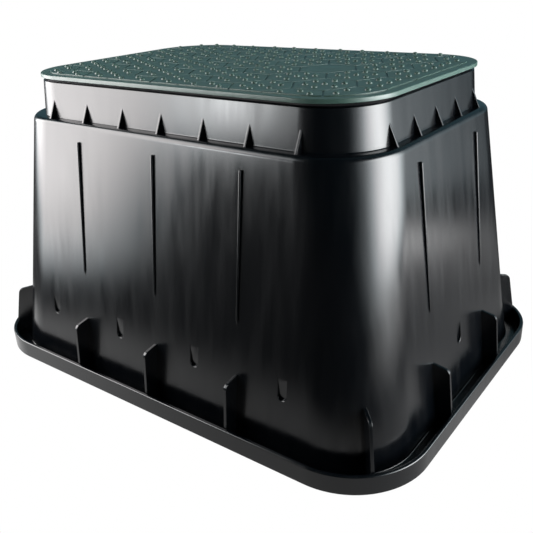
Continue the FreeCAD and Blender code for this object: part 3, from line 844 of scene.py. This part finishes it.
# %% Black plastic
black, shader = new_plastic("black_plastic", (0.0007, 0.0011, 0.0017), 0.22)
streaks = stretched_noise(black, (1, 1, 0.05), 90)
vary(black, streaks, 0.17, 0.27, shader.inputs["Roughness"])
waves = raise_surface(black, stretched_noise(black, (1, 1, 0.15), 14, 2), 0.6, 0.05)
grain = raise_surface(black, stretched_noise(black, (1, 1, 0.4), 900), 0.02, 0.2, waves)
link(black, grain.outputs["Normal"], shader.inputs["Normal"])
print("black plastic: gloss with streaks")

# %% [markdown]
# ### Green plastic
#
# The lid is a dull blue-green with a satin skin. Its grain is coarser than the box's, and its
# roughness varies in soft patches the size of a fingertip.

# %% Green plastic
green, shader = new_plastic("green_plastic", (0.032, 0.062, 0.050), 0.35)
mottle = stretched_noise(green, (1, 1, 1), 60)
vary(green, mottle, 0.30, 0.42, shader.inputs["Roughness"])
grain = raise_surface(green, stretched_noise(green, (1, 1, 1), 1200), 0.03, 0.3)
link(green, grain.outputs["Normal"], shader.inputs["Normal"])
print("green plastic: semi-gloss with a fine grain")

# %% [markdown]
# ### Dress the pieces
#
# Each piece gets its material, rides on the CAD model's body and hides the CAD node it stands for.

# %% Ride, replace and finish each piece
for piece, material, slot, node in ((box_moulding, black, "black_plastic", "box_body"),
                                    (lid_moulding, green, "green_plastic", "lid"),
                                    (lid_tiles, green, "green_plastic", "lid"),
                                    (lid_studs, green, "green_plastic", "lid")):
    piece.data.materials.clear()
    piece.data.materials.append(material)
    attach(piece, "root")
    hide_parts(node)
print("pieces ride on root")

# %% [markdown]
# ## Studio
#
# A glossy black box has hardly any colour of its own: what is seen is the studio, mirrored in
# its walls. So the studio is built from what the walls show. On the left a large soft panel
# stands aslant, and its lower edge runs across the long wall. On the right a second panel fades
# out widely and gives the bright stripe on the front corner. The room in front stays dark. The
# camera sees a plain white floor, and the box mirrors that floor only where light is painted
# into it, as if the studio lit it there: round the foot and below the right panel.


# %% Colours of the picture
bpy.context.scene.view_settings.view_transform = "Standard"


print("view transform: Standard")


# %% [markdown]
# ### Light that is wired in nodes
#
# The lamps and the floor are surfaces that glow, and how strongly they glow at each point is
# worked out by a few Math and Map Range nodes. These helpers keep that wiring short.

# %% Helpers: stage materials
def new_stage_material(name):
    """An empty material; its nodes are added where it is used."""
    material = bpy.data.materials.new(name)
    material.use_nodes = True
    material.node_tree.nodes.clear()
    return material


def math_node(owner, operation, *values):
    """A Math node's result; a value is a number or another node's output."""
    node = add_node(owner, "ShaderNodeMath", operation=operation)
    for socket, value in zip(node.inputs, values):
        if isinstance(value, (int, float)):
            socket.default_value = value
        else:
            link(owner, value, socket)
    return node.outputs["Value"]


def ramp(owner, source, start, end, low, high):
    """A smooth step from one value to another while the source runs from start to end."""
    node = add_node(owner, "ShaderNodeMapRange", interpolation_type="SMOOTHSTEP")
    for label, value in (("From Min", start), ("From Max", end), ("To Min", low),
                         ("To Max", high)):
        node.inputs[label].default_value = value
    link(owner, source, node.inputs["Value"])
    return node.outputs["Result"]


def vector_node(owner, operation, first, second=None):
    """A Vector Math node; the second vector is a constant."""
    node = add_node(owner, "ShaderNodeVectorMath", operation=operation)
    link(owner, first, node.inputs[0])
    if second is not None:
        node.inputs[1].default_value = second
    return node


def white_to_camera(owner, glow, output, surface="ShaderNodeEmission"):
    """Ends a stage material: plain white for the camera, a grey glow for every other ray."""
    seen = add_node(owner, "ShaderNodeLightPath")
    white = add_node(owner, surface)
    white.inputs["Color"].default_value = (1, 1, 1, 1)
    lit = add_node(owner, surface)
    mix = add_node(owner, "ShaderNodeMixShader")
    link(owner, glow, lit.inputs["Strength"])
    link(owner, seen.outputs["Is Camera Ray"], mix.inputs["Fac"])
    link(owner, lit.outputs[0], mix.inputs[1])
    link(owner, white.outputs[0], mix.inputs[2])
    link(owner, mix.outputs["Shader"], output.inputs["Surface"])
    return lit


print("helpers for the studio are ready")

# %% [markdown]
# ### The floor
#
# Round the foot the floor has a painted glow, stronger towards the left and the front, and it
# dims with the distance from the foot's outline. Four round pools of painted light lie where the
# studio's lamps would light the floor: their reflections are what shows low on the walls.

# %% Floor
POOLS = (((0.76, 0.02, 0), 0.05, 0.42, 1.9), ((0.62, 0.50, 0), 0.03, 0.20, 3.2),
         ((0.52, 0.40, 0), 0.05, 0.40, 0.4), ((-0.70, -0.55, 0), 0.05, 0.32, 2.0))

deselect_everything()
bpy.ops.mesh.primitive_plane_add(size=12, location=(0, 0, 0))
floor = bpy.context.object
floor.name = "floor"
paint = new_stage_material("floor_white")
where = add_node(paint, "ShaderNodeTexCoord").outputs["Object"]
corner_axis = ((BASE[0] - BASE[2]) * MM, (BASE[1] - BASE[2]) * MM, 0)
folded = vector_node(paint, "ABSOLUTE", where).outputs["Vector"]
past = vector_node(paint, "SUBTRACT", folded, corner_axis).outputs["Vector"]
past = vector_node(paint, "MAXIMUM", past, (0, 0, 0)).outputs["Vector"]
from_axis = vector_node(paint, "LENGTH", past).outputs["Value"]
# A painted glow round the foot, made brighter towards the left and the front just below.
foot_glow = ramp(paint, from_axis, BASE[2] * MM + 0.05, BASE[2] * MM + 0.17, 1.0, 0.08)
axes = add_node(paint, "ShaderNodeSeparateXYZ")
link(paint, where, axes.inputs["Vector"])
for axis, start, end, low, high in (("X", -0.35, 0.15, 1.2, 0.5), ("Y", -0.05, 0.15, 1.0, 0.5)):
    foot_glow = math_node(paint, "MULTIPLY", foot_glow,
                          ramp(paint, axes.outputs[axis], start, end, low, high))
glow = foot_glow
# Painted pools of light, where the lamps would light the floor.
for centre, inner, outer, strength in POOLS:
    away = vector_node(paint, "DISTANCE", where, centre).outputs["Value"]
    glow = math_node(paint, "ADD", glow, ramp(paint, away, inner, outer, strength, 0.0))
white_to_camera(paint, glow, add_node(paint, "ShaderNodeOutputMaterial"))
floor.data.materials.append(paint)
print("floor: white to the camera, with", len(POOLS), "pools of light")

# %% [markdown]
# ### The room
#
# The room is dark in front and a cool grey behind the box, which the lid mirrors as a soft
# sheen.

# %% World
world = bpy.data.worlds.new("room")
bpy.context.scene.world = world
world.use_nodes = True
world.node_tree.nodes.clear()
split = add_node(world, "ShaderNodeSeparateXYZ")
link(world, add_node(world, "ShaderNodeTexCoord").outputs["Generated"], split.inputs["Vector"])
glow = ramp(world, split.outputs["Y"], -0.3, 0.8, 0.025, 0.21)
room = white_to_camera(world, glow, add_node(world, "ShaderNodeOutputWorld"),
                       "ShaderNodeBackground")
room.inputs["Color"].default_value = (0.40, 0.82, 1.0, 1)
print("world: dark room in front, grey behind")


# %% [markdown]
# ### The soft panels
#
# A softbox is a plane with a glow that fades out at its edges. It casts no shadow and other
# panels shine through it, so panels can overlap to make a bright core with a wide halo.

# %% Helper: a soft panel
def soft_panel(name, centre, facing, width, height, lean, strength, colour, fades):
    """An upright glowing panel that faces a bearing, turned in its own plane by a lean.

    It fades at its left, right, lower and upper edge over these shares of its size, and its light
    is cooler there. Other panels shine through it, and the camera doesn't see it."""
    deselect_everything()
    bpy.ops.mesh.primitive_plane_add(size=1, location=(0, 0, 0))
    panel = bpy.context.object
    panel.name = name
    turn = (Matrix.Rotation(math.radians(facing), 4, "Z")
            @ Matrix.Rotation(math.radians(-lean), 4, "Y")
            @ Matrix.Rotation(math.radians(90), 4, "X"))
    panel.data.transform(Matrix.Translation(centre) @ turn
                         @ Matrix.Diagonal((width, height, 1, 1)))
    panel.visible_camera = False
    panel.visible_shadow = False
    glow = new_stage_material(name + "_glow")
    split = add_node(glow, "ShaderNodeSeparateXYZ")
    link(glow, add_node(glow, "ShaderNodeTexCoord").outputs["UV"], split.inputs["Vector"])
    left, right, low, high = fades
    power = math_node(glow, "MULTIPLY", ramp(glow, split.outputs["X"], 0, left, 0, strength),
                      ramp(glow, split.outputs["X"], 1 - right, 1, 1, 0))
    power = math_node(glow, "MULTIPLY", power, ramp(glow, split.outputs["Y"], 0, low, 0, 1))
    power = math_node(glow, "MULTIPLY", power, ramp(glow, split.outputs["Y"], 1 - high, 1, 1, 0))
    tint = add_node(glow, "ShaderNodeMix", data_type="RGBA")
    tint.inputs["A"].default_value = (0.80, 0.94, 1.0, 1)
    tint.inputs["B"].default_value = (*colour, 1)
    link(glow, ramp(glow, power, 0, strength * 0.7, 0, 1), tint.inputs["Factor"])
    light = add_node(glow, "ShaderNodeEmission")
    link(glow, tint.outputs["Result"], light.inputs["Color"])
    link(glow, power, light.inputs["Strength"])
    both = add_node(glow, "ShaderNodeAddShader")
    link(glow, light.outputs["Emission"], both.inputs[0])
    link(glow, add_node(glow, "ShaderNodeBsdfTransparent").outputs["BSDF"], both.inputs[1])
    output = add_node(glow, "ShaderNodeOutputMaterial")
    link(glow, both.outputs["Shader"], output.inputs["Surface"])
    panel.data.materials.append(glow)
    print(name, "at", [round(value, 2) for value in centre])


# %% [markdown]
# Bearings are in degrees: a panel at -45 stands front left of the box, one at 110 stands to the
# right and a little behind. The left panel's slant makes the diagonal edge on the long wall,
# and the small collar panel lengthens the reflection on the collar, which leans less than the
# wall.

# %% Place the soft panels
soft_panel("left_panel", (-0.492, -0.367, 0.529), -45, 1.04, 0.8, 66, 10.8, (1.0, 0.97, 0.97),
           (0.20, 0.53, 0.26, 0.3))
soft_panel("collar_panel", (-0.278, -0.581, 0.300), -45, 0.24, 0.165, 0, 18.0, (0.97, 0.99, 1.0),
           (0.4, 0.4, 0.3, 0.3))
soft_panel("right_panel", (0.95, 0.15, 0.47), 110, 1.3, 1.0, 0, 14.6, (0.985, 0.99, 1.0),
           (0.5, 0.5, 0.14, 0.3))
soft_panel("right_halo", (0.96, 0.153, 0.40), 110, 2.4, 1.1, 0, 3.8, (0.92, 0.98, 1.0),
           (0.5, 0.5, 0.16, 0.3))
soft_panel("top_panel", (-0.3, 0.6, 1.4), 0, 1.2, 0.8, 0, 1.5, (1.0, 1.0, 1.0),
           (0.3, 0.3, 0.3, 0.3))

# %% [markdown]
# ## Camera
#
# The camera was found by fitting the box's edges in the photograph: where it stands, how it is
# turned and how long its lens is for a square picture of 533 pixels.

# %% Camera
PICTURE, FOCAL_PIXELS, SENSOR = 533, 679.20, 36
bearing, height_angle, roll = (math.radians(angle) for angle in (37.28, 23.98, -2.39))
backwards = Vector((math.sin(bearing) * math.cos(height_angle),
                    -math.cos(bearing) * math.cos(height_angle), math.sin(height_angle)))
lens = bpy.data.cameras.new("camera")
lens.sensor_width = SENSOR
lens.lens = FOCAL_PIXELS / PICTURE * SENSOR
camera = bpy.data.objects.new("camera", lens)
bpy.context.scene.collection.objects.link(camera)
camera.rotation_mode = "QUATERNION"
camera.rotation_quaternion = backwards.to_track_quat("Z", "Y") @ Quaternion((0, 0, 1), roll)
camera.location = (0.4354, -0.5615, 0.3963)
bpy.context.scene.camera = camera
print("lens", round(lens.lens, 2), "mm")
